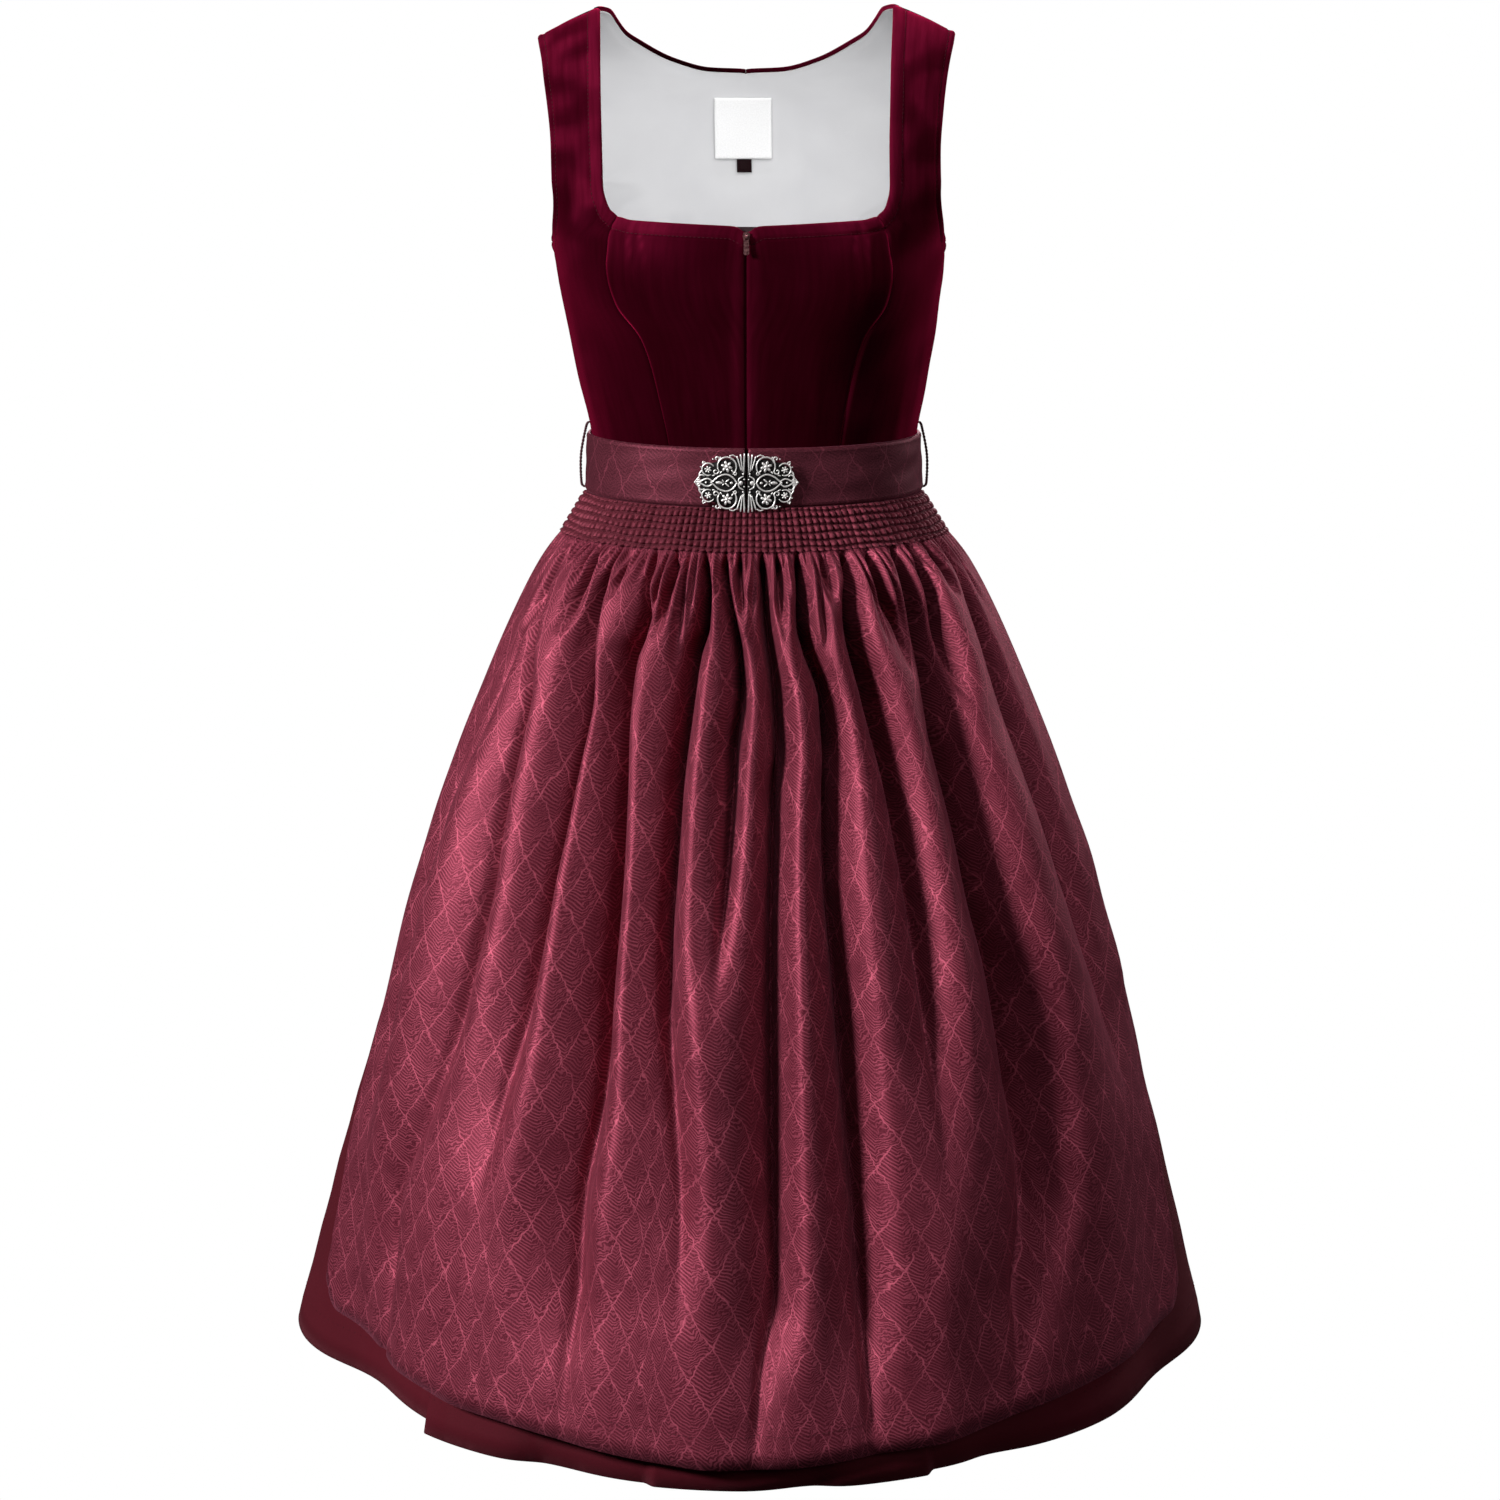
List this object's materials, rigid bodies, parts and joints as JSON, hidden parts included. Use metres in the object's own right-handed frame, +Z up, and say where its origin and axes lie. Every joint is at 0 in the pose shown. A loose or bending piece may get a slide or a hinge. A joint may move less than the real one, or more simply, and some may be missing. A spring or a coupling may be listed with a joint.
{
  "type": "dirndl",
  "caption": "Filled-out midi dirndl with a square-necked velvet bodice, gathered skirt, smocked jacquard apron, and a waist belt closed by a filigree clasp.",
  "frame": {"origin": "midway between the undersides of the two shoulder straps, where a wearer's shoulders carry the dress", "axes": "+Z up, -Y towards the front of the dress, +X to the viewer's right when looking at the front"},
  "size_m": [0.7179, 0.6877, 1.018],
  "materials": {
    "velvet": "short crimson velvet nap",
    "lining": "plain matt cotton",
    "skirt_cotton": "plain weave cotton",
    "jacquard": "satin jacquard with a lozenge figure",
    "label": "woven satin",
    "size_tab": "woven satin",
    "zip_tape": "woven polyester",
    "thread": "crocheted thread",
    "zip_metal": "lacquered, reddish",
    "old_silver": "antique silver cast"
  },
  "bodies": {
    "dress": {"front_centre_left": "velvet", "front_centre_right": "velvet", "front_side_left": "velvet", "front_side_right": "velvet", "back_left": "velvet", "back_right": "velvet", "lining_back": "lining", "label_main": "label", "label_size": "size_tab", "zip_tape": "zip_tape", "zip_slider": "zip_metal", "skirt_front": "skirt_cotton", "skirt_back": "skirt_cotton", "apron_smocking": "jacquard", "apron_panel": "jacquard", "belt": "jacquard", "clasp_left": "old_silver", "clasp_right": "old_silver", "loop_left": "thread", "loop_right": "thread"},
    "zip_pull": {"zip_pull": "zip_metal"}
  },
  "joints": [
    {"name": "zip_pull_hinge", "type": "hinge", "parent": "dress", "child": "zip_pull", "pos_m": [-0.00261, -0.11263, -0.14897], "axis": [-1, 0, 0], "range_deg": [0, 165]}
  ]
}
